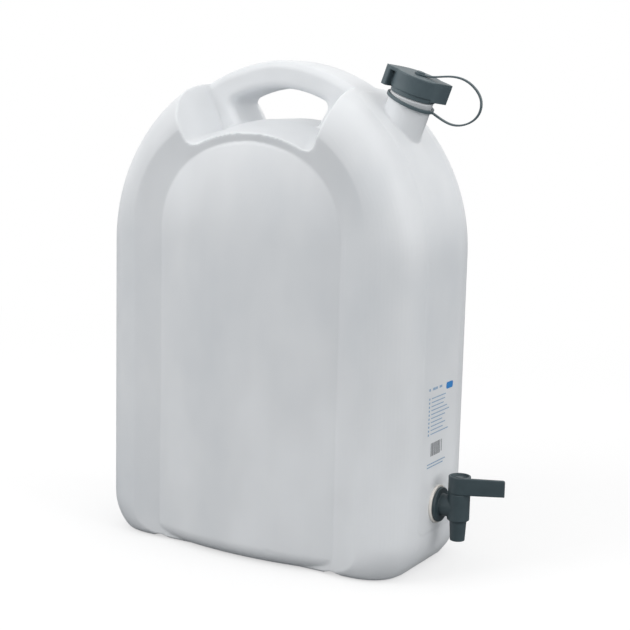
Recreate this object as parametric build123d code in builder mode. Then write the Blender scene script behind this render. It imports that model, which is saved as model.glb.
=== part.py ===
from build123d import *
from math import atan2, copysign, cos, degrees, radians, sin, sqrt, tan
import os

os.makedirs("parts", exist_ok=True)

# Canister shell: overall size and wall
can_width = 350.0
can_depth = 165.0
can_height = 490.0
wall = 2.0

# Outline seen from the front: each shoulder's arc is struck from past the middle
shoulder_past = 10.0
shoulder_radius = can_width / 2 + shoulder_past
crown_radius = 95.0
base_corner = 56.0
base_sink = 16.0
base_round = 12.0

# Narrow sides: a flat strip, then draft, then a big round onto the faces
side_flat = 80.0
side_draft = 8.0
side_flank = 3.5
side_round = (can_depth - side_flat) / 2 - side_flank

# Slightly raised strip down the tap side; it runs over the shoulder and round the neck
strip_rise = 0.6
strip_margin = 0.4
strip_foot = 42.0
strip_inner = 90.0
strip_corner = 12.0
strip_round = 22.0

# Bulged panel on each large face, with the sloping band round it
panel_width = 203.2
panel_drop = 79.0
panel_top = can_height - panel_drop
panel_corner = 74.6
panel_crown = 130.0
panel_inset = 6.5
panel_bulge = 14.0
panel_lip = 0.5
panel_foot_round = 18.0
panel_closing = 91.0
panel_close = 12.4
band_width = 29.4

# Recess each side of the handle, and the hand hole through it
recess_lip = 9.0
recess_foot = 69.0
recess_slant = 24.0
recess_draft = 13.0
recess_corner = 10.0
web_depth = 54.0
hole_foot = 43.0
hole_head = 57.0
hole_corner = 7.0
bar_height = 27.0
hole_round = 7.0
bar_round = 8.0

# Shallow grooves under the base, one below each edge of the panel
groove_depth = 4.0
groove_radius = 16.0

# Filling neck, tilted away from the handle
neck_x = 131.6
neck_drop = 36.2
neck_z = can_height - neck_drop
neck_tilt = 19.9
neck_radius = 21.3
neck_bore = 17.0
thread_radius = 19.3
neck_step = 4.6
neck_top = 21.2
neck_root = 50.0

# Screw cap and its liner
cap_gap = 0.9
cap_top = 26.8
cap_radius = 23.3
skirt_radius = 22.0
skirt_band = 4.5
cap_bore = 20.9
cap_edge = 1.0
wing_round = 1.6
liner_thickness = 2.0
liner_gap = 0.1
wing_reach = 33.3
wing_angle = 28.0
wing_start = -17.0
wing_thickness = 6.6
wing_height = 19.2
wing_plate = 3.6

# Tether: ring on the neck, flat strap, eye on the cap
ring_radius = 24.1
ring_height = 3.2
ring_gap = 0.35
ring_tilt = 5.0
strap_width = 4.6
strap_thickness = 1.7
strap_angle = 10.0
eye_radius = 5.4
eye_gap = 0.15
button_radius = 4.2
button_head = 1.2
pin_radius = 2.0
pin_depth = 1.5
turn_gap = 0.05

# Tap
tap_z = 66.4
tap_reach = 24.0
gasket_thickness = 2.5
gasket_radius = 18.7
flange_radius = 17.1
flange_thickness = 3.2
barrel_radius = 10.5
shank_radius = 13.0
shank_length = 15.0
shank_gap = 0.2
boss_wall = 3.5
flow_radius = 5.0
chamber_radius = 10.85
chamber_foot = 54.5
chamber_head = 81.2
spout_foot = 33.8
spout_radius = 8.2
spout_tip = 7.2
spout_bore = 5.3
plug_radius = 7.9
plug_wall = 3.0
plug_gap = 0.05
plug_floor = 55.0
seal_section = 0.85
seal_seat = 0.02
seal_inset = 3.1
seal_groove = 2.2
stem_radius = 4.0
stem_flat = 2.9
lever_height = 17.0
lever_reach = 43.6
lever_thickness = 3.6
lever_angle = 22.2
lever_rise = 0.6
lever_corner = 2.0
lever_edge = 0.8
dish_depth = 2.4
lever_gap = 0.15


saddle = panel_top + recess_lip + (can_depth - web_depth) / 2 * tan(radians(recess_draft))
saddle_radius = panel_crown


def arch(half_width, corner, crown, top, bottom):
    """Closed line with upright sides, a round on each shoulder and a flatter crown."""
    reach = crown - corner
    corner_x = half_width - corner
    rise = copysign(sqrt(reach**2 - corner_x**2), reach)
    spring = top - crown + rise
    turn = degrees(atan2(rise / reach, corner_x / reach))
    with BuildLine() as path:
        Line((half_width, bottom), (half_width, spring))
        CenterArc((corner_x, spring), corner, 0, turn)
        CenterArc((0, top - crown), crown, turn, 180 - 2 * turn)
        CenterArc((-corner_x, spring), corner, 180 - turn, turn)
        Line((-half_width, spring), (-half_width, bottom))
        Line((-half_width, bottom), (half_width, bottom))
    return path.line


def can_outline(skin):
    with BuildSketch() as face:
        add(
            arch(
                can_width / 2 - skin,
                shoulder_radius - skin,
                crown_radius - skin,
                can_height - skin,
                skin - base_sink,
            )
        )
        make_face()
        fillet(face.vertices().group_by(Axis.Y)[0], radius=base_corner - skin)
    return face.sketch


def panel_outline(grow):
    with BuildSketch() as face:
        add(
            arch(
                panel_width / 2 + grow,
                panel_corner + grow,
                panel_crown + grow,
                panel_top + grow,
                -band_width,
            )
        )
        make_face()
    return face.sketch


def recess_outline(skin):
    """Front view of the hollow beside the handle, open at the top."""
    foot = recess_foot + skin
    top = can_height + base_corner
    sill = panel_top + recess_lip - skin
    sill_radius = panel_crown + recess_lip - skin
    foot_z = sill - sill_radius + sqrt(sill_radius**2 - foot**2)
    head = foot + (top - foot_z) * tan(radians(recess_slant))
    with BuildSketch() as face:
        with BuildLine():
            ThreePointArc((-foot, foot_z), (0, sill), (foot, foot_z))
            Line((foot, foot_z), (head, top))
            Line((head, top), (-head, top))
            Line((-head, top), (-foot, foot_z))
        make_face()
        fillet(face.vertices().group_by(Axis.Y)[0], radius=recess_corner)
    return face.sketch


def above_saddle(skin):
    """Front view of all that lies above the saddle under the hand hole."""
    drop = saddle_radius - sqrt(saddle_radius**2 - hole_head**2)
    with BuildSketch() as face:
        with BuildLine():
            ThreePointArc((-hole_head, saddle - drop - skin), (0, saddle - skin), (hole_head, saddle - drop - skin))
            Polyline(
                (hole_head, saddle - drop - skin),
                (can_width, saddle - drop - skin),
                (can_width, can_height),
                (-can_width, can_height),
                (-can_width, saddle - drop - skin),
                (-hole_head, saddle - drop - skin),
            )
        make_face()
    return face.sketch


def hole_outline(skin):
    under = can_height - bar_height
    under_radius = crown_radius + bar_height
    foot_z = saddle - saddle_radius + sqrt(saddle_radius**2 - hole_foot**2)
    head_z = under - under_radius + sqrt(under_radius**2 - hole_head**2)
    with BuildSketch() as face:
        with BuildLine():
            ThreePointArc((-hole_foot, foot_z), (0, saddle), (hole_foot, foot_z))
            Line((hole_foot, foot_z), (hole_head, head_z))
            ThreePointArc((hole_head, head_z), (0, under), (-hole_head, head_z))
            Line((-hole_head, head_z), (-hole_foot, foot_z))
        make_face()
        fillet(face.vertices(), radius=hole_corner)
        if skin > 0:
            offset(amount=skin)
    return face.sketch


def hole_form(skin):
    """Cutter for the hand hole: its mouths flare into the web's faces above the saddle."""
    floor = web_depth / 2 - skin
    with BuildPart() as web:
        with BuildSketch(Plane.XZ):
            with Locations((0, can_height)):
                Rectangle(can_width, can_width)
        extrude(amount=floor, both=True)
        with BuildSketch(Plane.XZ):
            add(hole_outline(skin))
        extrude(amount=floor, both=True, mode=Mode.SUBTRACT)
        faces = web.faces().filter_by(Plane.XZ)
        mouths = faces.sort_by(Axis.Y)[0].inner_wires()[0].edges() + faces.sort_by(Axis.Y)[-1].inner_wires()[0].edges()
        fillet(mouths, radius=hole_round + skin)
    with BuildPart() as form:
        with BuildSketch(Plane.XZ):
            with Locations((0, can_height)):
                Rectangle(can_width, can_width)
        extrude(amount=floor, both=True)
        add(web.part, mode=Mode.SUBTRACT)
        with BuildSketch(Plane.XZ):
            add(above_saddle(skin))
        extrude(amount=floor, both=True, mode=Mode.INTERSECT)
        with BuildSketch(Plane.XZ):
            add(hole_outline(skin))
        extrude(amount=can_depth / 2, both=True)
    return form.part


def panel_form(skin):
    """Front panel: a slice of a big upright barrel that closes in near its top."""
    crease = can_depth / 2 - panel_inset - skin
    front = crease + panel_bulge
    sag = panel_bulge - panel_lip
    sweep = ((panel_width / 2 - skin) ** 2 + sag**2) / (2 * sag)
    bulge_start = panel_top - panel_closing
    middle_z = (bulge_start + panel_top) / 2
    with BuildPart() as form:
        with BuildSketch(Plane.YZ):
            with BuildLine():
                Line((-crease / 2, skin), (-front + panel_foot_round, skin))
                RadiusArc((-front + panel_foot_round, skin), (-front, skin + panel_foot_round), panel_foot_round)
                Line((-front, skin + panel_foot_round), (-front, bulge_start))
                ThreePointArc(
                    (-front, bulge_start),
                    (-front + panel_close / 4, middle_z),
                    (-front + panel_close, panel_top),
                )
                Line((-front + panel_close, panel_top), (-crease / 2, panel_top))
                Line((-crease / 2, panel_top), (-crease / 2, skin))
            make_face()
        revolve(axis=Axis((0, sweep - front, 0), (0, 0, 1)))
        with BuildSketch(Plane.XZ.offset(crease / 2)):
            add(panel_outline(-skin))
        extrude(amount=front, mode=Mode.INTERSECT)
    return form.part


def band_form(skin):
    """Cutter for the sloping band between the round of the side and the panel."""
    crease = can_depth / 2 - panel_inset - skin
    with BuildPart() as form:
        with BuildSketch(Plane.XZ.offset(crease)):
            add(panel_outline(-skin))
        with BuildSketch(Plane.XZ.offset(crease + 2 * panel_inset)):
            add(panel_outline(2 * band_width - skin))
        loft(ruled=True)
    return form.part


def recess_form(skin):
    """Cutter for the hollow on the front side of the handle."""
    front = can_depth / 2 - skin
    floor = web_depth / 2 - skin
    with BuildPart() as form:
        with BuildSketch(Plane.XZ.offset(front)):
            add(recess_outline(skin))
        extrude(amount=-(front - floor), taper=recess_draft)
        with BuildSketch(Plane.XZ.offset(front)):
            add(recess_outline(skin))
        extrude(amount=panel_bulge * 2)
    return form.part


def can_form(skin):
    """The canister's shape, drawn in by the given skin thickness."""
    half = can_depth / 2 - skin
    panel = panel_form(skin)
    band = band_form(skin)
    recess = recess_form(skin)
    with BuildPart() as form:
        with BuildSketch(Plane.XZ):
            add(can_outline(skin))
        extrude(amount=side_flat / 2, both=True)
        with BuildSketch(Plane.XZ.offset(side_flat / 2)):
            add(can_outline(skin))
        extrude(amount=half - side_flat / 2, taper=side_draft)
        mirror(about=Plane.XZ)
        ends = form.faces().filter_by(Plane.XZ)
        fillet(ends.sort_by(Axis.Y)[0].edges() + ends.sort_by(Axis.Y)[-1].edges(), radius=side_round - skin)
        split(bisect_by=Plane.XY.offset(skin), keep=Keep.TOP)
        fillet(form.faces().sort_by(Axis.Z)[0].edges(), radius=base_round - skin)
        add(band, mode=Mode.SUBTRACT)
        add(mirror(band, about=Plane.XZ, mode=Mode.PRIVATE), mode=Mode.SUBTRACT)
        add(panel)
        add(mirror(panel, about=Plane.XZ, mode=Mode.PRIVATE))
        add(recess, mode=Mode.SUBTRACT)
        add(mirror(recess, about=Plane.XZ, mode=Mode.PRIVATE), mode=Mode.SUBTRACT)
        web_edges = [edge for edge in form.edges() if abs(abs(edge.center().Y) - web_depth / 2 + skin) < 0.01]
        bar_edges = [
            edge
            for edge in web_edges
            if edge.geom_type != GeomType.LINE and edge.center().Z > can_height - 2 * bar_height
        ]
        fillet(bar_edges, radius=bar_round - skin)
        add(hole_form(skin), mode=Mode.SUBTRACT)
        for side in (-1, 1):
            with BuildSketch(Plane.XZ):
                with Locations((side * panel_width / 2, groove_depth - groove_radius)):
                    Circle(groove_radius + skin)
            extrude(amount=can_depth, both=True, mode=Mode.SUBTRACT)
    return form.part


def strip_form():
    """Raised strip on the tap side: a slice of the outline grown by the strip's rise."""
    half = side_flat / 2 - strip_margin
    with BuildPart() as form:
        with BuildSketch(Plane.XZ):
            add(can_outline(-strip_rise))
        extrude(amount=half, both=True)
        with BuildSketch(Plane.YZ) as side_view:
            with Locations((0, strip_foot)):
                Rectangle(2 * half, can_height, align=(Align.CENTER, Align.MIN))
            fillet(side_view.vertices().group_by(Axis.Z)[0], radius=strip_corner)
        extrude(amount=can_width, mode=Mode.INTERSECT)
        with BuildSketch(Plane.XY) as plan_view:
            with Locations((strip_inner, 0)):
                Rectangle(can_width, 2 * half, align=(Align.MIN, Align.CENTER))
            fillet(plan_view.vertices().group_by(Axis.X)[0], radius=strip_round)
        extrude(amount=2 * can_height, mode=Mode.INTERSECT)
    return form.part


neck_axis = Plane(
    origin=(neck_x, 0, neck_z),
    x_dir=(cos(radians(neck_tilt)), 0, -sin(radians(neck_tilt))),
    z_dir=(sin(radians(neck_tilt)), 0, cos(radians(neck_tilt))),
)
tap_face = can_width / 2 + strip_rise
tap_x = can_width / 2 + tap_reach
boss_depth = shank_length + wall
boss_radius = shank_radius + shank_gap + boss_wall
flange_x = tap_face + gasket_thickness

# Canister body: blown shell with its handle, neck and tap boss in one piece
canister_outside = can_form(0)
canister_inside = can_form(wall)

with BuildPart() as canister_body:
    add(canister_outside)
    add(strip_form())
    with BuildSketch(neck_axis.offset(-neck_root)):
        Circle(neck_radius)
    extrude(amount=neck_root + neck_step)
    with BuildSketch(neck_axis.offset(neck_step)):
        Circle(thread_radius)
    extrude(amount=neck_top - neck_step)
    add(canister_inside, mode=Mode.SUBTRACT)
    with BuildSketch(neck_axis.offset(-neck_root)):
        Circle(neck_bore)
    extrude(amount=neck_root + neck_top, mode=Mode.SUBTRACT)
    with BuildSketch(Plane.YZ.offset(tap_face - boss_depth)):
        with Locations((0, tap_z)):
            Circle(boss_radius)
    extrude(amount=boss_depth - wall / 2)
    with BuildSketch(Plane.YZ.offset(tap_face - boss_depth)):
        with Locations((0, tap_z)):
            Circle(shank_radius + shank_gap)
    extrude(amount=2 * boss_depth, mode=Mode.SUBTRACT)
canister_body.part.label = "canister_body"
export_step(canister_body.part, "parts/canister_body.step")

# Screw cap: skirt, flat top and two swept wings, turned from the neck's axis
liner_foot = neck_top + liner_gap
cap_ceiling = liner_foot + liner_thickness
skirt_foot = neck_step + cap_gap
wing_foot = cap_top - wing_height
pin_hole_depth = pin_depth + liner_gap

with BuildPart() as screw_cap:
    with BuildSketch(neck_axis.offset(skirt_foot)):
        Circle(skirt_radius)
    extrude(amount=skirt_band)
    with BuildSketch(neck_axis.offset(skirt_foot + skirt_band)):
        Circle(cap_radius)
    extrude(amount=cap_top - skirt_foot - skirt_band)
    fillet(screw_cap.edges().sort_by(Axis(neck_axis.origin, neck_axis.z_dir))[-1], radius=cap_edge)
    start = radians(wing_start)
    tip = radians(wing_angle)
    root = Vector(cap_radius * cos(start), cap_radius * sin(start))
    end = Vector(wing_reach * cos(tip), wing_reach * sin(tip))
    along = (end - root).normalized()
    inward = Vector(-along.Y, along.X)
    inner = end + inward * wing_thickness
    for level, rise, back in (
        (wing_foot, wing_height, inner - along * (wing_reach - cap_radius)),
        (cap_top - wing_plate, wing_plate, Vector(0, cap_radius - wing_thickness)),
    ):
        with BuildSketch(neck_axis.offset(level)) as wings:
            with PolarLocations(0, 2):
                Polygon(root, end, inner, back, (0, 0), align=None)
            far_out = cap_radius + wing_thickness / 2
            tips = [corner for corner in wings.vertices() if Vector(corner).length > far_out]
            fillet(tips, radius=wing_round)
        extrude(amount=rise)
    with BuildSketch(neck_axis.offset(skirt_foot)):
        Circle(cap_bore)
    extrude(amount=cap_ceiling - skirt_foot, mode=Mode.SUBTRACT)
    with BuildSketch(neck_axis.offset(cap_top)):
        Circle(pin_radius + turn_gap)
    extrude(amount=-pin_hole_depth, mode=Mode.SUBTRACT)
screw_cap.part.label = "screw_cap"
export_step(screw_cap.part, "parts/screw_cap.step")

with BuildPart() as cap_liner:
    with BuildSketch(neck_axis.offset(liner_foot)):
        Circle(cap_bore - liner_gap)
    extrude(amount=liner_thickness)
cap_liner.part.label = "cap_liner"
export_step(cap_liner.part, "parts/cap_liner.step")

# Tether: ring round the neck, strap standing out in a loop, eye on top of the cap
strap_side = neck_axis.x_dir * cos(radians(strap_angle)) + Vector(0, 1, 0) * sin(radians(strap_angle))
strap_plane = Plane(origin=neck_axis.origin, x_dir=strap_side, z_dir=strap_side.cross(neck_axis.z_dir))
eye_foot = cap_top + eye_gap
eye_middle = eye_foot + strap_thickness / 2
strap_route = [
    (ring_radius - 1.5, -1.9),
    (34.0, -4.6),
    (46.0, -5.4),
    (57.5, -0.6),
    (66.0, 12.0),
    (63.5, 26.0),
    (54.0, 34.2),
    (41.0, 37.8),
    (27.0, 35.4),
    (14.0, 30.0),
    (eye_radius - 1.0, eye_middle),
]
ring_plane = neck_axis.rotated((0, ring_tilt, 0))

with BuildPart() as cap_tether:
    with BuildSketch(ring_plane.offset(-ring_height / 2)):
        Circle(ring_radius)
        Circle(neck_radius + ring_gap, mode=Mode.SUBTRACT)
    extrude(amount=ring_height)
    with BuildSketch(neck_axis.offset(eye_foot)):
        Circle(eye_radius)
    extrude(amount=strap_thickness)
    with BuildSketch(strap_plane):
        with BuildLine():
            Spline(*strap_route)
        trace(line_width=strap_thickness)
    extrude(amount=strap_width / 2, both=True)
    with BuildSketch(ring_plane.offset(-2 * ring_height)):
        Circle(neck_radius + ring_gap)
    extrude(amount=4 * ring_height, mode=Mode.SUBTRACT)
    with BuildSketch(neck_axis.offset(cap_top)):
        Circle(pin_radius + turn_gap)
    extrude(amount=4 * strap_thickness, mode=Mode.SUBTRACT)
cap_tether.part.label = "cap_tether"
export_step(cap_tether.part, "parts/cap_tether.step")

# Button that pins the eye to the cap and lets the cap turn under it
button_foot = eye_foot + strap_thickness + turn_gap
with BuildPart() as tether_button:
    with BuildSketch(neck_axis.offset(cap_top - pin_depth)):
        Circle(pin_radius)
    extrude(amount=button_foot - cap_top + pin_depth)
    with BuildSketch(neck_axis.offset(button_foot)):
        Circle(button_radius)
    extrude(amount=button_head)
    fillet(tether_button.edges().group_by(Axis(neck_axis.origin, neck_axis.z_dir))[-1], radius=button_head / 2)
tether_button.part.label = "tether_button"
export_step(tether_button.part, "parts/tether_button.step")

# Flat gasket between the canister and the tap's flange
with BuildPart() as tap_gasket:
    with BuildSketch(Plane.YZ.offset(tap_face)):
        with Locations((0, tap_z)):
            Circle(gasket_radius)
            Circle(shank_radius + shank_gap, mode=Mode.SUBTRACT)
    extrude(amount=gasket_thickness)
tap_gasket.part.label = "tap_gasket"
export_step(tap_gasket.part, "parts/tap_gasket.step")

# Tap body: shank, flange, barrel, upright chamber and spout in one moulding
with BuildPart() as tap_body:
    with BuildSketch(Plane.YZ.offset(flange_x - gasket_thickness - shank_length)):
        with Locations((0, tap_z)):
            Circle(shank_radius)
    extrude(amount=shank_length + gasket_thickness)
    with BuildSketch(Plane.YZ.offset(flange_x)):
        with Locations((0, tap_z)):
            Circle(flange_radius)
    extrude(amount=flange_thickness)
    fillet(tap_body.edges().group_by(Axis.X)[-1], radius=flange_thickness / 3)
    with BuildSketch(Plane.YZ.offset(flange_x)):
        with Locations((0, tap_z)):
            Circle(barrel_radius)
    extrude(amount=tap_x - flange_x)
    with BuildSketch(Plane.XY.offset(chamber_foot)):
        with Locations((tap_x, 0)):
            Circle(chamber_radius)
    extrude(amount=chamber_head - chamber_foot)
    with BuildSketch(Plane.XZ):
        with BuildLine():
            Polyline(
                (tap_x, chamber_foot),
                (tap_x + spout_radius + 1.2, chamber_foot),
                (tap_x + spout_radius, chamber_foot - 2.4),
                (tap_x + spout_tip, spout_foot),
                (tap_x, spout_foot),
                close=True,
            )
        make_face()
    revolve(axis=Axis((tap_x, 0, 0), (0, 0, 1)))
    with BuildSketch(Plane.XY.offset(plug_floor)):
        with Locations((tap_x, 0)):
            Circle(plug_radius + plug_gap)
    extrude(amount=chamber_head - plug_floor, mode=Mode.SUBTRACT)
    with BuildSketch(Plane.XY.offset(spout_foot)):
        with Locations((tap_x, 0)):
            Circle(spout_bore)
    extrude(amount=chamber_foot, mode=Mode.SUBTRACT)
    with BuildSketch(Plane.YZ.offset(tap_face - shank_length)):
        with Locations((0, tap_z)):
            Circle(flow_radius)
    extrude(amount=tap_x - tap_face + shank_length, mode=Mode.SUBTRACT)
tap_body.part.label = "tap_body"
export_step(tap_body.part, "parts/tap_body.step")

# Hollow plug: open below, one window in its side, a flatted stem on top
lever_foot = chamber_head + lever_gap
lever_top = lever_foot + lever_height
plug_foot = plug_floor + lever_gap
seal_radius = plug_radius + plug_gap - seal_seat - seal_section
seal_levels = [plug_foot + seal_inset, chamber_head - seal_inset]
arm_plane = Plane(
    origin=(tap_x, 0, lever_foot),
    x_dir=(cos(radians(lever_angle)), sin(radians(lever_angle)), 0),
    z_dir=(0, 0, 1),
)
window_plane = Plane(origin=(tap_x, 0, tap_z), x_dir=(0, 0, 1), z_dir=-arm_plane.x_dir)
with BuildPart() as tap_plug:
    with BuildSketch(Plane.XY.offset(plug_foot)):
        with Locations((tap_x, 0)):
            Circle(plug_radius)
    extrude(amount=lever_foot - plug_foot)
    with BuildSketch(Plane.XY.offset(lever_foot)):
        with Locations((tap_x, 0)):
            Circle(stem_radius)
            Rectangle(2 * stem_radius, 2 * stem_flat, mode=Mode.INTERSECT)
    extrude(amount=lever_height - dish_depth + 1.0)
    with BuildSketch(Plane.XY.offset(plug_foot)):
        with Locations((tap_x, 0)):
            Circle(plug_radius - plug_wall)
    extrude(amount=tap_z + flow_radius + 1.0 - plug_foot, mode=Mode.SUBTRACT)
    with BuildSketch(window_plane):
        Circle(flow_radius)
    extrude(amount=2 * plug_radius, mode=Mode.SUBTRACT)
    for level in seal_levels:
        with BuildSketch(Plane.XZ):
            with Locations((tap_x + seal_radius - seal_section - seal_seat, level)):
                Rectangle(2 * plug_wall, seal_groove, align=(Align.MIN, Align.CENTER))
        revolve(axis=Axis((tap_x, 0, 0), (0, 0, 1)), mode=Mode.SUBTRACT)
tap_plug.part.label = "tap_plug"
export_step(tap_plug.part, "parts/tap_plug.step")

for name, level in zip(("plug_seal_lower", "plug_seal_upper"), seal_levels):
    with BuildPart() as plug_seal:
        with BuildSketch(Plane.XZ):
            with Locations((tap_x + seal_radius, level)):
                Circle(seal_section)
        revolve(axis=Axis((tap_x, 0, 0), (0, 0, 1)))
    plug_seal.part.label = name
    export_step(plug_seal.part, "parts/" + name + ".step")

# Lever: dished hub over the stem with a flat arm that leaves it tangentially
with BuildPart() as tap_lever:
    with BuildSketch(arm_plane):
        Circle(chamber_radius)
    extrude(amount=lever_height)
    arm_side = Plane(
        origin=arm_plane.origin - arm_plane.y_dir * chamber_radius,
        x_dir=arm_plane.x_dir,
        z_dir=-arm_plane.y_dir,
    )
    with BuildSketch(arm_side) as arm:
        Polygon(
            (0, 0),
            (chamber_radius, 0),
            (lever_reach, lever_rise),
            (lever_reach, lever_height),
            (0, lever_height),
            align=None,
        )
        fillet(arm.vertices().group_by(Axis(arm_side.origin, arm_side.x_dir))[-1], radius=lever_corner)
    extrude(amount=-lever_thickness)
    rims = tap_lever.edges().filter_by(lambda edge: edge.center().Z > lever_top - 0.01 or edge.center().Z < lever_foot + 0.01)
    fillet(rims, radius=lever_edge)
    with BuildSketch(arm_plane.offset(lever_height)):
        Circle(chamber_radius - 1.8)
    extrude(amount=-dish_depth, taper=12, mode=Mode.SUBTRACT)
    with BuildSketch(Plane.XY.offset(lever_foot)):
        with Locations((tap_x, 0)):
            Circle(stem_radius + plug_gap)
            Rectangle(2 * (stem_radius + plug_gap), 2 * (stem_flat + plug_gap), mode=Mode.INTERSECT)
    extrude(amount=lever_height, mode=Mode.SUBTRACT)
tap_lever.part.label = "tap_lever"
export_step(tap_lever.part, "parts/tap_lever.step")
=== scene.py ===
import bpy
from math import cos, pi, radians, sin
from mathutils import Matrix, Vector


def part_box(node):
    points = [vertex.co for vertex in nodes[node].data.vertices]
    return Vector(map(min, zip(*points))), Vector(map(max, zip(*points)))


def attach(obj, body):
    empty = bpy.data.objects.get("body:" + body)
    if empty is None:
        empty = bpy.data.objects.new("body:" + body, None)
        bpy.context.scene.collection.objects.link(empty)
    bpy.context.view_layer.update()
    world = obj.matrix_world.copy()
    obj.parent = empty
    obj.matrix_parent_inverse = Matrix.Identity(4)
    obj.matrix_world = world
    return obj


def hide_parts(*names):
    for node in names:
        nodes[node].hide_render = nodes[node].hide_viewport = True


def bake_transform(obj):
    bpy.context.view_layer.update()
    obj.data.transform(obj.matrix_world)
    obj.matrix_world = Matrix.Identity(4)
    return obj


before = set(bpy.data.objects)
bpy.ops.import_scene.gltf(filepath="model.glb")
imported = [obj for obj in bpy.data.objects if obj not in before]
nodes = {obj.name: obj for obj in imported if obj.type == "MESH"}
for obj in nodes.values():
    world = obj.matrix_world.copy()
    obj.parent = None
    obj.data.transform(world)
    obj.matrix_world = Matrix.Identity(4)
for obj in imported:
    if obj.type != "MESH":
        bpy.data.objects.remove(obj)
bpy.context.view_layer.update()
scene = bpy.context.scene
scene.view_settings.view_transform = "Standard"
print("frame loaded")

# Camera, at the photograph's viewing angle
camera = {
    "target": Vector((0.03283, 0, 0.23807)),
    "azimuth": radians(30.07),
    "elevation": radians(9.45),
    "roll": radians(1.45),
    "distance": 1.45,
    "lens": 82.29,
    "sensor": 36,
}
viewBack = Vector((
    sin(camera["azimuth"]) * cos(camera["elevation"]),
    -cos(camera["azimuth"]) * cos(camera["elevation"]),
    sin(camera["elevation"]),
))
viewRight = Vector((cos(camera["azimuth"]), sin(camera["azimuth"]), 0))
viewUp = viewBack.cross(viewRight)
cameraData = bpy.data.cameras.new("photoCamera")
cameraData.lens = camera["lens"]
cameraData.sensor_width = camera["sensor"]
cameraObject = bpy.data.objects.new("photoCamera", cameraData)
scene.collection.objects.link(cameraObject)
turned = Matrix((viewRight, viewUp, viewBack)).transposed().to_4x4()
rolled = turned @ Matrix.Rotation(camera["roll"], 4, "Z")
cameraObject.matrix_world = Matrix.Translation(camera["target"] + viewBack * camera["distance"]) @ rolled
scene.camera = cameraObject
print("camera placed")


# Colours and nodes
def linear(hexCode):
    channels = [int(hexCode[i:i + 2], 16) / 255 for i in (0, 2, 4)]
    return [c / 12.92 if c <= 0.04045 else ((c + 0.055) / 1.055) ** 2.4 for c in channels] + [1.0]


def addNode(material, kind, settings=None, values=None, links=None):
    tree = material.node_tree
    item = tree.nodes.new(kind)
    for name, value in (settings or {}).items():
        setattr(item, name, value)
    for socket, value in (values or {}).items():
        item.inputs[socket].default_value = value
    for socket, source in (links or {}).items():
        tree.links.new(source, item.inputs[socket])
    return item


def newMaterial(name):
    material = bpy.data.materials.new(name)
    material.use_nodes = True
    material.node_tree.nodes.clear()
    return material


def ramp(material, source, stops):
    item = addNode(material, "ShaderNodeValToRGB", links={"Fac": source})
    elements = item.color_ramp.elements
    while len(elements) < len(stops):
        elements.new(0.5)
    for element, (place, colour) in zip(elements, stops):
        element.position = place
        element.color = colour
    return item


# Natural polyethylene, blow moulded: milky, satin from the tool's surface, clouded in soft patches
# about 0.1 m wide, with faint upright draw lines; the glow is painted light, an even emission that lifts the
# shade, standing in for light coming through the wall
can = {
    "colour": "d9dbdd",
    "thinColour": "e2e4e6",
    "veil": "cfd2d5",
    "glow": "e6ecf2",
    "paintedGlowStrength": 0.05,
    "cloudScale": (9, 9, 5),
    "drawScale": (260, 260, 6),
    "drawStrength": 0.05,
    "roughness": 0.42,
    "ior": 1.54,
    "depth": 0.5,
    "depthScale": 0.006,
}


def naturalPolyethylene():
    m = newMaterial("natural_polyethylene_blow_moulded")
    place = addNode(m, "ShaderNodeTexCoord").outputs["Object"]
    wide = addNode(m, "ShaderNodeMapping", values={"Scale": can["cloudScale"]}, links={"Vector": place})
    cloud = addNode(m, "ShaderNodeTexNoise", values={"Scale": 1.0, "Detail": 3.0}, links={
        "Vector": wide.outputs[0]})
    tone = ramp(m, cloud.outputs["Fac"], [
        (0.3, linear(can["veil"])), (0.5, linear(can["colour"])), (0.7, linear(can["thinColour"]))])
    drawn = addNode(m, "ShaderNodeMapping", values={"Scale": can["drawScale"]}, links={"Vector": place})
    streak = addNode(m, "ShaderNodeTexNoise", values={"Scale": 1.0, "Detail": 2.0}, links={
        "Vector": drawn.outputs[0]})
    bump = addNode(m, "ShaderNodeBump", values={"Strength": can["drawStrength"], "Distance": 0.001}, links={
        "Height": streak.outputs["Fac"]})
    shader = addNode(m, "ShaderNodeBsdfPrincipled", values={
        "Roughness": can["roughness"],
        "IOR": can["ior"],
        "Subsurface Weight": can["depth"],
        "Subsurface Radius": (1.0, 1.0, 1.0),
        "Subsurface Scale": can["depthScale"],
        # painted glow: an even emission that lightens the shaded parts of the canister
        "Emission Color": linear(can["glow"]),
        "Emission Strength": can["paintedGlowStrength"],
    }, links={"Base Color": tone.outputs["Color"], "Normal": bump.outputs["Normal"]})
    addNode(m, "ShaderNodeOutputMaterial", links={"Surface": shader.outputs[0]})
    return m


# Polypropylene, injection moulded in a smooth tool: dark slate with a soft sheen, a cloudy tone
# about 15 mm wide and a fine orange peel
slate = {"cloudScale": 60.0, "peelScale": 1800.0, "peelStrength": 0.12, "roughness": 0.45, "ior": 1.49}


def slatePlastic(name, colour, light):
    m = newMaterial(name)
    place = addNode(m, "ShaderNodeTexCoord").outputs["Object"]
    grain = addNode(m, "ShaderNodeTexNoise", values={"Scale": slate["cloudScale"], "Detail": 4.0}, links={
        "Vector": place})
    tone = ramp(m, grain.outputs["Fac"], [(0.3, linear(colour)), (0.7, linear(light))])
    fine = addNode(m, "ShaderNodeTexNoise", values={"Scale": slate["peelScale"], "Detail": 2.0}, links={
        "Vector": place})
    bump = addNode(m, "ShaderNodeBump", values={"Strength": slate["peelStrength"], "Distance": 0.0002}, links={
        "Height": fine.outputs["Fac"]})
    shader = addNode(m, "ShaderNodeBsdfPrincipled", values={
        "Roughness": slate["roughness"],
        "IOR": slate["ior"],
    }, links={"Base Color": tone.outputs["Color"], "Normal": bump.outputs["Normal"]})
    addNode(m, "ShaderNodeOutputMaterial", links={"Surface": shader.outputs[0]})
    return m


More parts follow.
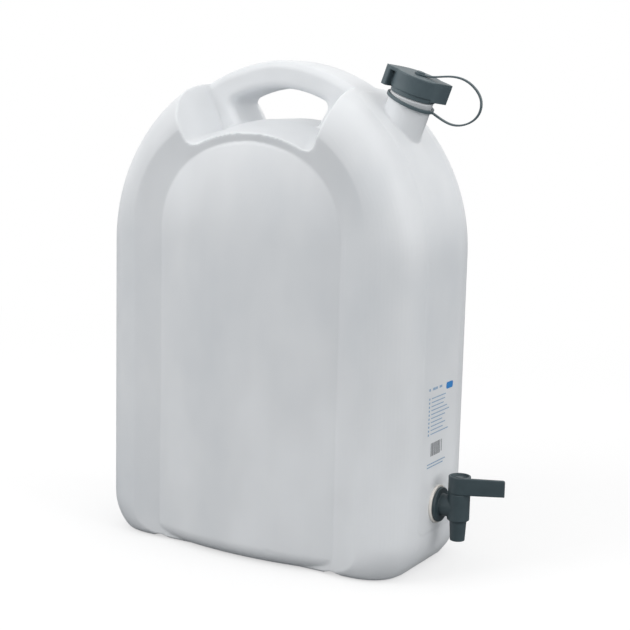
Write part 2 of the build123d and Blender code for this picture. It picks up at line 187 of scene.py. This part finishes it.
# Moulded rubber, foam and screen ink: one even colour, dull, with a grain of about 2.5 mm that
# only breaks up the light
dull = {"grainScale": 400.0, "grainStrength": 0.2, "roughness": 0.7}


def dullFinish(name, colour):
    m = newMaterial(name)
    place = addNode(m, "ShaderNodeTexCoord").outputs["Object"]
    grain = addNode(m, "ShaderNodeTexNoise", values={"Scale": dull["grainScale"], "Detail": 3.0}, links={
        "Vector": place})
    bump = addNode(m, "ShaderNodeBump", values={"Strength": dull["grainStrength"], "Distance": 0.0002}, links={
        "Height": grain.outputs["Fac"]})
    shader = addNode(m, "ShaderNodeBsdfPrincipled", values={
        "Base Color": linear(colour),
        "Roughness": dull["roughness"],
    }, links={"Normal": bump.outputs["Normal"]})
    addNode(m, "ShaderNodeOutputMaterial", links={"Surface": shader.outputs[0]})
    return m


polyethylene = naturalPolyethylene()
capPlastic = slatePlastic("slate_polypropylene_cap", "4c5a60", "566469")
tapPlastic = slatePlastic("slate_polypropylene_tap", "38464b", "414f54")
creamRubber = dullFinish("cream_rubber", "f1ede6")
blackRubber = dullFinish("black_rubber", "202224")
linerFoam = dullFinish("white_liner_foam", "eeeeec")
blueInk = dullFinish("screen_ink_blue", "2a7fc4")
paleBlueInk = dullFinish("screen_ink_pale_blue", "8fabc6")
greyInk = dullFinish("screen_ink_grey", "7d8084")
print("materials made")


def dress(obj, material):
    obj.data.materials.clear()
    obj.data.materials.append(material)


def only(obj):
    bpy.ops.object.select_all(action="DESELECT")
    obj.select_set(True)
    bpy.context.view_layer.objects.active = obj


def copyOf(nodeName, name):
    source = nodes[nodeName]
    piece = bpy.data.objects.new(name, source.data.copy())
    scene.collection.objects.link(piece)
    only(piece)
    bpy.ops.object.mode_set(mode="EDIT")
    bpy.ops.mesh.select_all(action="SELECT")
    bpy.ops.mesh.remove_doubles(threshold=0.00001)
    bpy.ops.object.mode_set(mode="OBJECT")
    return piece


def finishWith(obj, kind, **settings):
    only(obj)
    modifier = obj.modifiers.new(kind.lower(), kind)
    for name, value in settings.items():
        setattr(modifier, name, value)
    bpy.ops.object.modifier_apply(modifier=modifier.name)


# Neck axis, as the cap turns on it
neck = {
    "origin": Vector((0.1316, 0, 0.4538)),
    "tilt": radians(19.9),
    "radius": 0.0213,
    "crest": 0.0193,
    "bore": 0.0170,
    "foot": -0.0010,
    "step": 0.0046,
    "top": 0.0212,
    "boreFoot": -0.0150,
    "pitch": 0.0060,
    "threadHeight": 0.0011,
    "threadFoot": 0.0062,
    "threadTurns": 2.0,
    "threadShare": 0.42,
    "bevel": 0.0006,
}
neckUp = Vector((sin(neck["tilt"]), 0, cos(neck["tilt"])))
neckPlace = Matrix.Translation(neck["origin"]) @ Matrix.Rotation(neck["tilt"], 4, "Y")


def addPrimitive(kind, name, **settings):
    bpy.ops.object.select_all(action="DESELECT")
    getattr(bpy.ops.mesh, "primitive_" + kind + "_add")(**settings)
    piece = bpy.context.object
    piece.name = name
    return piece


def settle(piece, place=None):
    if place is not None:
        piece.matrix_world = place @ piece.matrix_world
    only(piece)
    bpy.ops.object.transform_apply(location=True, rotation=True, scale=True)


def pickFaces(piece, test):
    only(piece)
    bpy.ops.object.mode_set(mode="EDIT")
    bpy.ops.mesh.select_mode(type="FACE")
    bpy.ops.mesh.select_all(action="DESELECT")
    bpy.ops.object.mode_set(mode="OBJECT")
    for face in piece.data.polygons:
        face.select = test(face)
    bpy.ops.object.mode_set(mode="EDIT")


def leaveEdit():
    bpy.ops.object.mode_set(mode="OBJECT")


def joined(first, *others):
    only(first)
    for other in others:
        other.select_set(True)
    bpy.ops.object.join()
    return bpy.context.object


def soften(piece, settings):
    finishWith(piece, "REMESH", mode="VOXEL", voxel_size=settings["voxel"])
    finishWith(piece, "SMOOTH", factor=0.5, iterations=settings["rounds"])
    finishWith(piece, "DECIMATE", ratio=settings["keep"])
    only(piece)
    bpy.ops.object.shade_smooth()


def stand(piece, body, slotName, material, *replaced):
    dress(piece, material)
    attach(piece, body)
    if replaced:
        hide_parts(*replaced)
    piece.data.calc_loop_triangles()
    print(piece.name, len(piece.data.loop_triangles), "triangles")


# Canister skin: the outside of the moulding, its edges blown soft
skin = {
    "voxel": 0.0011,
    "rounds": 4,
    "keep": 0.17,
    "neckCut": 0.0040,
    "plugRadius": 0.0205,
    "plugDepth": 0.0060,
    "tapHole": 0.0136,
    "tapHeight": 0.0664,
}
canSkin = copyOf("canister_body", "canister_skin")
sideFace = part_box("tap_gasket")[0].x
only(canSkin)
bpy.ops.object.mode_set(mode="EDIT")
bpy.ops.mesh.select_all(action="SELECT")
bpy.ops.mesh.bisect(plane_co=neck["origin"] + neckUp * skin["neckCut"], plane_no=neckUp, clear_outer=True)
leaveEdit()
neckPlug = addPrimitive(
    "cylinder", "neck_plug", vertices=96, radius=skin["plugRadius"], depth=skin["plugDepth"],
    location=(0, 0, skin["neckCut"] - skin["plugDepth"] / 2),
)
settle(neckPlug, neckPlace)
tapFill = addPrimitive(
    "cylinder", "tap_fill", vertices=96, radius=skin["tapHole"], depth=skin["plugDepth"],
    location=(sideFace - skin["plugDepth"] / 2, 0, skin["tapHeight"]), rotation=(0, pi / 2, 0),
)
settle(tapFill)
canSkin = joined(canSkin, neckPlug, tapFill)
soften(canSkin, skin)

# Neck: turned wall, thread and lip above the skin
neckWall = addPrimitive(
    "cylinder", "neck_wall", vertices=128, radius=neck["radius"], depth=neck["step"] - neck["foot"],
    location=(0, 0, (neck["step"] + neck["foot"]) / 2),
)
settle(neckWall)
pickFaces(neckWall, lambda face: face.normal.z > 0.9)
bpy.ops.mesh.inset(thickness=neck["radius"] - neck["crest"])
bpy.ops.mesh.extrude_region_move(TRANSFORM_OT_translate={"value": (0, 0, neck["top"] - neck["step"])})
bpy.ops.mesh.inset(thickness=neck["crest"] - neck["bore"])
bpy.ops.mesh.extrude_region_move(TRANSFORM_OT_translate={"value": (0, 0, neck["boreFoot"] - neck["top"])})
leaveEdit()
finishWith(neckWall, "BEVEL", width=neck["bevel"], segments=3, limit_method="ANGLE", angle_limit=radians(50))
thread = addPrimitive("plane", "neck_thread", size=1)
thread.scale = (2 * neck["threadHeight"], neck["pitch"] * neck["threadShare"], 1)
thread.rotation_euler = (pi / 2, 0, 0)
thread.location = (neck["crest"], 0, neck["threadFoot"])
settle(thread)
only(thread)
bpy.ops.object.mode_set(mode="EDIT")
bpy.ops.mesh.select_all(action="SELECT")
bpy.ops.mesh.delete(type="ONLY_FACE")
leaveEdit()
finishWith(
    thread, "SCREW", axis="Z", angle=2 * pi * neck["threadTurns"],
    screw_offset=neck["pitch"] * neck["threadTurns"], steps=128, render_steps=128, use_merge_vertices=False,
)
neckWall = joined(neckWall, thread)
settle(neckWall, neckPlace)
bpy.ops.object.mode_set(mode="EDIT")
bpy.ops.mesh.select_all(action="SELECT")
bpy.ops.mesh.normals_make_consistent(inside=False)
leaveEdit()
bpy.ops.object.shade_smooth_by_angle(angle=radians(40))
canSkin = joined(canSkin, neckWall)
canSkin.name = "canister_skin"
stand(canSkin, "can", "natural_polyethylene", polyethylene, "canister_body")
print("canister made")

# Cap: moulded in one with its wings, edges softened
cap = {"voxel": 0.0004, "rounds": 4, "keep": 0.45}
screwCap = copyOf("screw_cap", "winged_cap")
soften(screwCap, cap)
stand(screwCap, "cap", "slate_cap_plastic", capPlastic, "screw_cap")
print("cap made")

# Tap body, lever and gasket: the soft edges of small injection mouldings
tap = {"voxel": 0.0004, "rounds": 4, "keep": 0.4}
seal = {"voxel": 0.0004, "rounds": 3, "keep": 0.4}
tapBody = copyOf("tap_body", "tap_moulding")
soften(tapBody, tap)
stand(tapBody, "can", "slate_tap_plastic", tapPlastic, "tap_body")
lever = copyOf("tap_lever", "lever_moulding")
soften(lever, tap)
stand(lever, "tap_key", "slate_tap_plastic", tapPlastic, "tap_lever")
gasket = copyOf("tap_gasket", "soft_gasket")
soften(gasket, seal)
stand(gasket, "can", "cream_rubber", creamRubber, "tap_gasket")
print("tap made")

# Tether: ring, strap and eye moulded in one, the strap running from the neck to the rising eye; edges softened
tether = {"eyeFoot": 0.02595, "voxel": 0.00035, "rounds": 3, "keep": 0.4}
softTether = copyOf("cap_tether", "moulded_tether")
soften(softTether, tether)
dress(softTether, capPlastic)
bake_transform(softTether)
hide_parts("cap_tether")
print("tether made")

# Print on the narrow side: plain bars and a field, thin as ink; each is left, foot, width, rise
ink = {
    "lift": 0.00006,
    "field": (0.0113, 0.1787, 0.0150, 0.0066),
    "fieldRound": 0.0022,
    "header": [(-0.0265, 0.0030), (-0.0185, 0.0060), (-0.0120, 0.0040), (-0.0040, 0.0058)],
    "headerHeight": 0.1826,
    "headerRise": 0.0024,
    "firstLine": 0.1743,
    "lineStep": 0.0039,
    "lineRise": 0.0010,
    "lineStart": -0.0205,
    "lineLengths": [0.0310, 0.0300, 0.0270, 0.0350, 0.0400, 0.0310, 0.0250, 0.0320, 0.0270, 0.0390],
    "footLines": [(-0.0256, 0.1096, 0.0400), (-0.0256, 0.1066, 0.0350)],
    "markStart": -0.0262,
    "markWidth": 0.0026,
    "blockLeft": -0.0185,
    "blockFoot": 0.1175,
    "blockRise": 0.0130,
    "blockBars": [
        0.0012, 0.0006, 0.0018, 0.0006, 0.0009, 0.0015, 0.0006, 0.0012, 0.0009, 0.0018, 0.0006, 0.0012,
    ],
    "blockGap": 0.0007,
    "loneBar": (0.0046, 0.1185, 0.0012, 0.0120),
}


def inkBar(name, left, foot, width, rise):
    bar = addPrimitive("plane", name, size=1)
    bar.scale = (width, rise, 1)
    middle = Matrix.Translation((sideFace + ink["lift"], left + width / 2, foot + rise / 2))
    bar.matrix_world = middle @ Matrix(((0, 0, 1, 0), (width, 0, 0, 0), (0, rise, 0, 0), (0, 0, 0, 1)))
    settle(bar)
    return bar


fieldBar = inkBar("print_field", *ink["field"])
only(fieldBar)
bpy.ops.object.mode_set(mode="EDIT")
bpy.ops.mesh.select_all(action="SELECT")
bpy.ops.mesh.bevel(offset=ink["fieldRound"], segments=6, affect="VERTICES")
leaveEdit()
stand(fieldBar, "can", "natural_polyethylene", blueInk)
blueBars = []
for left, width in ink["header"]:
    blueBars.append(inkBar("print_header", left, ink["headerHeight"], width, ink["headerRise"]))
for row, length in enumerate(ink["lineLengths"]):
    foot = ink["firstLine"] - row * ink["lineStep"]
    blueBars.append(inkBar("print_line", ink["lineStart"], foot, length, ink["lineRise"]))
    markFoot = foot - ink["lineRise"] / 2
    blueBars.append(inkBar("print_mark", ink["markStart"], markFoot, ink["markWidth"], 2 * ink["lineRise"]))
for left, foot, width in ink["footLines"]:
    blueBars.append(inkBar("print_foot", left, foot, width, ink["lineRise"]))
blueLines = joined(*blueBars)
blueLines.name = "print_lines"
stand(blueLines, "can", "natural_polyethylene", paleBlueInk)
greyBars = []
left = ink["blockLeft"]
for width in ink["blockBars"]:
    greyBars.append(inkBar("print_bar", left, ink["blockFoot"], width, ink["blockRise"]))
    left += width + ink["blockGap"]
greyBars.append(inkBar("print_bar", *ink["loneBar"]))
greyBlock = joined(*greyBars)
greyBlock.name = "print_block"
stand(greyBlock, "can", "natural_polyethylene", greyInk)
print("print laid")

for nodeName, material in {
    "tether_button": capPlastic,
    "cap_liner": linerFoam,
    "tap_plug": tapPlastic,
    "plug_seal_lower": blackRubber,
    "plug_seal_upper": blackRubber,
}.items():
    dress(nodes[nodeName], material)

# Floor and soft studio light: the paper is white to the camera and grey to the canister above it
studio = {
    "floorSize": 60,
    "floor": "fafafa",
    "bounce": "66696c",
    "fadeFrom": 0.45,
    "fadeTo": 1.5,
    "fadeFloor": 0.55,
    "horizon": 1.18,
    "zenith": 0.78,
}
bpy.ops.object.select_all(action="DESELECT")
bpy.ops.mesh.primitive_plane_add(size=studio["floorSize"], location=(0, 0, 0))
floor = bpy.context.object
floor.name = "studio_floor"
floorPaper = newMaterial("white_paper_floor")
rays = addNode(floorPaper, "ShaderNodeLightPath")
paperTone = addNode(floorPaper, "ShaderNodeMix", settings={"data_type": "RGBA"}, links={
    0: rays.outputs["Is Camera Ray"]})
paperTone.inputs[6].default_value = linear(studio["bounce"])
paperTone.inputs[7].default_value = linear(studio["floor"])
paper = addNode(floorPaper, "ShaderNodeBsdfDiffuse", links={"Color": paperTone.outputs[2]})
glow = addNode(floorPaper, "ShaderNodeEmission", values={"Color": (1, 1, 1, 1), "Strength": 1.0})
spot = addNode(floorPaper, "ShaderNodeTexCoord").outputs["Object"]
far = addNode(floorPaper, "ShaderNodeVectorMath", settings={"operation": "LENGTH"}, links={0: spot})
fade = addNode(floorPaper, "ShaderNodeMapRange", settings={"interpolation_type": "SMOOTHSTEP"}, values={
    1: studio["fadeFrom"], 2: studio["fadeTo"], 3: studio["fadeFloor"], 4: 1.0,
}, links={0: far.outputs["Value"]})
shown = addNode(floorPaper, "ShaderNodeMath", settings={"operation": "MULTIPLY"}, links={
    0: fade.outputs[0], 1: rays.outputs["Is Camera Ray"]})
floorMix = addNode(floorPaper, "ShaderNodeMixShader", links={
    0: shown.outputs[0], 1: paper.outputs[0], 2: glow.outputs[0]})
addNode(floorPaper, "ShaderNodeOutputMaterial", links={"Surface": floorMix.outputs[0]})
dress(floor, floorPaper)

world = bpy.data.worlds.new("studio")
scene.world = world
world.use_nodes = True
world.node_tree.nodes.clear()
path = addNode(world, "ShaderNodeLightPath")
seen = addNode(world, "ShaderNodeMath", settings={"operation": "MAXIMUM"}, links={
    0: path.outputs["Is Camera Ray"], 1: path.outputs["Is Glossy Ray"]})
skyPlace = addNode(world, "ShaderNodeTexCoord").outputs["Generated"]
skyParts = addNode(world, "ShaderNodeSeparateXYZ", links={0: skyPlace})
skyLevel = addNode(world, "ShaderNodeMapRange", values={
    1: 0.0, 2: 1.0, 3: studio["horizon"], 4: studio["zenith"]}, links={0: skyParts.outputs["Z"]})
dim = addNode(world, "ShaderNodeBackground", values={"Color": (1, 1, 1, 1)}, links={
    "Strength": skyLevel.outputs[0]})
white = addNode(world, "ShaderNodeBackground", values={"Color": (1, 1, 1, 1), "Strength": 1.0})
mix = addNode(world, "ShaderNodeMixShader", links={
    0: seen.outputs[0], 1: dim.outputs[0], 2: white.outputs[0]})
addNode(world, "ShaderNodeOutputWorld", links={"Surface": mix.outputs[0]})

softBoxes = {
    "key": {"place": (-1.2, -1.6, 1.6), "size": 1.2, "power": 16},
    "side": {"place": (1.9, -0.1, 1.0), "size": 1.2, "power": 10},
}
for name, box in softBoxes.items():
    lampData = bpy.data.lights.new(name, "AREA")
    lampData.size = box["size"]
    lampData.energy = box["power"]
    lamp = bpy.data.objects.new(name, lampData)
    scene.collection.objects.link(lamp)
    lamp.location = box["place"]
    aim = Vector(box["place"]) - camera["target"]
    lamp.rotation_euler = aim.to_track_quat("Z", "Y").to_euler()
print("studio lit")
